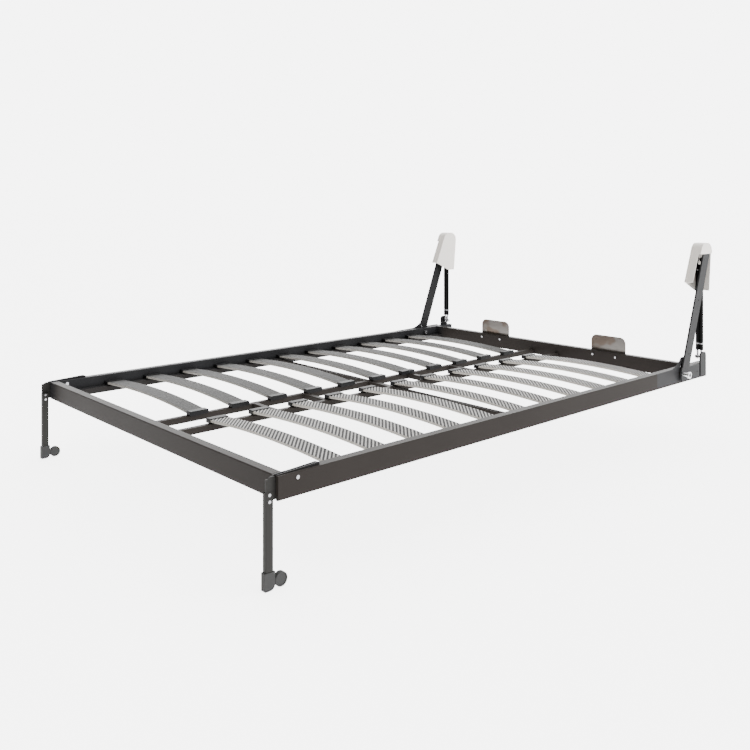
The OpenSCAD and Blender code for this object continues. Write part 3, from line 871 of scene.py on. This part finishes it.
@dataclass
class WallBrackets:
    """The leaning brackets that are screwed to the cabinet, with stud and upper spring pin."""

    finishes: Finishes
    edge: float = 0.6 * MM
    pin: tuple[float, float] = (2065.0, 467.0)
    pin_end: tuple[tuple[float, float], ...] = (
        (710.9, 0.5), (710.9, 4.5), (711.15, 4.7), (711.3, 4.3), (711.35, 0.3))

    def build(self) -> None:
        """Dresses the brackets and pins."""
        soften([f"{side.word}_wall_bracket" for side in Side], self.edge, "bracket_grey",
               self.finishes)
        dress([f"{side.word}_{part}" for side in Side
               for part in ("pivot_stud", "upper_spring_pin")], "bright_zinc", self.finishes)
        settle(turned("painted_pin_ends", self.pin_end, self.pin), "wall_side", "bracket_grey",
               self.finishes)


@dataclass
class SpringCovers:
    """White moulded covers over the upper ends of the gas springs."""

    finishes: Finishes
    edge: float = 0.8 * MM

    def build(self) -> None:
        """Dresses the covers."""
        soften([f"{side.word}_spring_cover" for side in Side], self.edge, "cover_white",
               self.finishes, turns=3)


@dataclass
class GasSprings:
    """Two gas springs on each side, with bright bands in their rolled grooves: painted highlights.
    """

    finishes: Finishes
    xs: tuple[float, float] = (680.0, 695.6)
    y: float = 2065.0
    band_zs: tuple[float, float] = (132.0, 425.0)
    band_r: tuple[float, float] = (7.35, 0.3)
    band_half: float = 2.3
    eye_z: float = 79.0
    clip_r: float = 8.6

    def bands(self, side: Side) -> bpy.types.Object:
        """Makes the bright bands that lie in the grooves, a painted highlight for their glints.

        A band is a ring with a flat oval section: at the angle a round the cylinder and b round
        the section the distance from the axis is R + r cos b, and the height is z + h sin b.

        Args:
            side: The side of the bed.

        Returns:
            The new piece.
        """
        a = np.linspace(0.0, math.tau, 48, endpoint=False)[:, None]
        b = np.linspace(0.0, math.tau, 12, endpoint=False)[None, :]
        reach = self.band_r[0] + self.band_r[1] * np.cos(b)
        rings = np.stack([
            bed(side.value * (x + reach * np.cos(a)), self.y + reach * np.sin(a),
                z + self.band_half * np.sin(b) + 0.0 * a)
            for x in self.xs for z in self.band_zs])
        return tube_mesh(f"{side.word}_spring_bands", rings, looped=True)

    def clips(self, side: Side) -> bpy.types.Object:
        """Makes the locking clips under the springs' lower eyes.

        A clip is a flat strip bent round the eye: at the angle a about the pin, from 175 to 375
        degrees, its middle lies at the distance R, and its oval section is 1 mm thick and 5 mm
        wide along the pin.

        Args:
            side: The side of the bed.

        Returns:
            The new piece.
        """
        a = np.radians(np.linspace(175.0, 375.0, 41))[:, None]
        b = np.linspace(0.0, math.tau, 12, endpoint=False)[None, :]
        reach = self.clip_r + 0.5 * np.cos(b)
        rings = np.stack([
            bed(side.value * (x + 2.5 * np.sin(b) + 0.0 * a), self.y + reach * np.cos(a),
                self.eye_z + reach * np.sin(a)) for x in self.xs])
        return tube_mesh(f"{side.word}_spring_clips", rings)

    def build(self) -> None:
        """Dresses the cylinders and rods and adds the bands."""
        for side in Side:
            dress([f"{side.word}_gas_cylinders"], "spring_black", self.finishes)
            dress([f"{side.word}_gas_rods"], "bright_zinc", self.finishes)
            # The bands are a painted highlight: bright metal in place of the grooves' glints.
            settle(self.bands(side), f"{side.word}_cylinders", "bright_zinc", self.finishes)
            settle(self.clips(side), f"{side.word}_rods", "spring_black", self.finishes)


@dataclass
class FoldingLegs:
    """Legs at the foot end, with their plates, tubes, rivets and rubber feet."""

    finishes: Finishes
    pivot: tuple[float, float] = (57.0, 45.0)
    bolt: tuple[tuple[float, float], ...] = (
        (666.5, 0.5), (666.5, 5.8), (667.1, 6.5), (669.95, 6.5), (669.95, 4.99), (700.05, 4.99),
        (701.2, 4.9), (701.75, 4.1), (702.0, 2.6), (701.6, 1.9), (701.6, 0.2))

    def pivot_bolts(self) -> bpy.types.Object:
        """Makes the two pivot bolts with low round heads, as circles about the pivot's axis.

        The circle k of a bolt has the radius and the place along X of the profile's point k.

        Returns:
            The new piece.
        """
        return turned("pivot_bolts", self.bolt, self.pivot)

    def build(self) -> None:
        """Dresses the legs, their liners and their pivot bolts."""
        words = [side.word for side in Side]
        soften([f"{word}_leg_plate" for word in words], 0.4 * MM, "dark_steel", self.finishes)
        dress([f"{word}_leg_tube" for word in words], "dark_steel", self.finishes)
        soften([f"{word}_leg_rivets" for word in words], 0.5 * MM, "bright_zinc", self.finishes,
               turns=3)
        settle(self.pivot_bolts(), "bed_frame", "bright_zinc", self.finishes, ["leg_pivot_bolts"])
        soften([f"{word}_foot" for word in words], 1.2 * MM, "foot_rubber", self.finishes, turns=3)
        soften([f"{word}_leg_guide" for word in words], 0.6 * MM, "black_plastic", self.finishes)


@dataclass
class MattressStops:
    """Satin plates behind the head rail that keep the mattress in place."""

    finishes: Finishes
    middle_x: float = 310.0
    bolt_dx: float = 55.0
    bolt_z: float = 42.0
    rail_y: float = 1974.0
    head_share: float = 0.7

    def narrow_heads(self) -> None:
        """Draws the bolts' heads in towards their axes, to 0.7 of their width."""
        mesh = bpy.data.objects["stop_bolts_finished"].data
        points = np.empty(len(mesh.vertices) * 3, np.float32)
        mesh.vertices.foreach_get("co", points)
        points = points.reshape(-1, 3)
        x = np.abs(points[:, 0]) / MM
        axis = bed(self.middle_x + self.bolt_dx * np.sign(x - self.middle_x), self.rail_y,
                   self.bolt_z)
        axis[:, 0] *= np.sign(points[:, 0])
        away = points - axis
        head = (away[:, 1] < 0.01 * MM) & (np.hypot(away[:, 0], away[:, 2]) > 5.0 * MM)
        share = np.where(head, self.head_share, 1.0)[:, None] * [1.0, 0.0, 1.0] + [0.0, 1.0, 0.0]
        mesh.vertices.foreach_set("co", (axis + away * share).astype(np.float32).ravel())
        mesh.update()

    def build(self) -> None:
        """Dresses the plates and their bolts."""
        soften([f"{side.word}_mattress_stop" for side in Side], 0.5 * MM, "plate_zinc",
               self.finishes)
        soften(["stop_bolts"], 1.1 * MM, "bright_zinc", self.finishes, turns=3)
        self.narrow_heads()


# The studio

@dataclass
class Studio:
    """Camera, pale floor and soft light."""

    camera_at: tuple[float, float, float] = (2.31426, -2.20313, 0.91533)
    camera_turn: float = 0.834017
    focal_px: float = 844.5366
    horizon_px: float = 199.0839
    picture_px: float = 750.0
    sensor: float = 36.0
    floor_half: float = 60.0
    brightness: float = 6.5
    front_tint: tuple[float, float, float] = (0.085, 0.078, 0.072)

    def camera(self) -> None:
        """Sets the level camera, whose picture is moved down to take in the bed."""
        lens = bpy.data.cameras.new("picture_camera")
        lens.sensor_width = self.sensor
        lens.sensor_fit = "HORIZONTAL"
        lens.lens = self.focal_px / self.picture_px * self.sensor
        lens.shift_y = (self.horizon_px - self.picture_px / 2) / self.picture_px
        lens.clip_start = 0.05
        lens.clip_end = 400.0
        lens.dof.use_dof = False
        stand = bpy.data.objects.new("picture_camera", lens)
        stand.location = self.camera_at
        stand.rotation_euler = (math.pi / 2, 0.0, self.camera_turn)
        bpy.context.scene.collection.objects.link(stand)
        bpy.context.scene.camera = stand

    def floor(self) -> None:
        """Lays the floor as one flat sheet."""
        h = self.floor_half
        mesh = bpy.data.meshes.new("studio_floor")
        corners = [(-h, -h, 0.0), (h, -h, 0.0), (h, h, 0.0), (-h, h, 0.0)]
        mesh.from_pydata(corners, [], [(0, 1, 2, 3)])
        sheet = bpy.data.objects.new("studio_floor", mesh)
        mesh.materials.append(FloorPaint("studio_floor_paint").make())
        bpy.context.scene.collection.objects.link(sheet)

    def lamp(self, name: str, at: tuple[float, float, float], size: tuple[float, float],
             power: float) -> None:
        """Hangs one soft rectangular lamp, turned to the middle of the bed.

        Args:
            name: Name of the lamp.
            at: Its place.
            size: Its width and height.
            power: Its power in watts.
        """
        light = bpy.data.lights.new(name, "AREA")
        light.shape = "RECTANGLE"
        light.size, light.size_y = size
        light.energy = power
        lamp = bpy.data.objects.new(name, light)
        lamp.location = at
        way = np.array(at) - np.array([0.0, 0.0, 0.3])
        flat = math.hypot(way[0], way[1])
        lamp.rotation_euler = (math.atan2(flat, way[2]), 0.0, math.atan2(way[0], -way[1]))
        bpy.context.scene.collection.objects.link(lamp)

    def light(self) -> None:
        """Sets a white surround, which is duller in front of the bed, and a soft lamp."""
        world = bpy.data.worlds.new("studio_surround")
        world.use_nodes = True
        net = Net.over(world.node_tree)
        way = Value(net, net.node("ShaderNodeTexCoord", {}, {}).outputs["Generated"])
        _, ahead, _ = net.parts(way)
        tint = net.mix(net.step(ahead, *SKY_FADE), self.front_tint, (1.0, 1.0, 1.0))
        sky = net.tree.nodes["Background"]
        net.tree.links.new(tint.socket, sky.inputs["Color"])
        sky.inputs["Strength"].default_value = self.brightness
        bpy.context.scene.world = world
        self.lamp("front_lamp", (0.3, -4.0, 3.4), (2.5, 2.5), 70.0)

    def build(self) -> None:
        """Sets up the studio."""
        self.camera()
        self.floor()
        self.light()


def main() -> None:
    """Builds the sub-assemblies in order."""
    logging.basicConfig(level=logging.INFO, format="%(name)s: %(message)s")
    Studio().build()
    finishes = Finishes()
    for assembly in (BedFrame, SlatColumns, HeadHinges, WallBrackets, SpringCovers, GasSprings,
                     FoldingLegs, MattressStops):
        log.info("building %s", assembly.__name__)
        assembly(finishes).build()


if __name__ == "__main__":
    main()
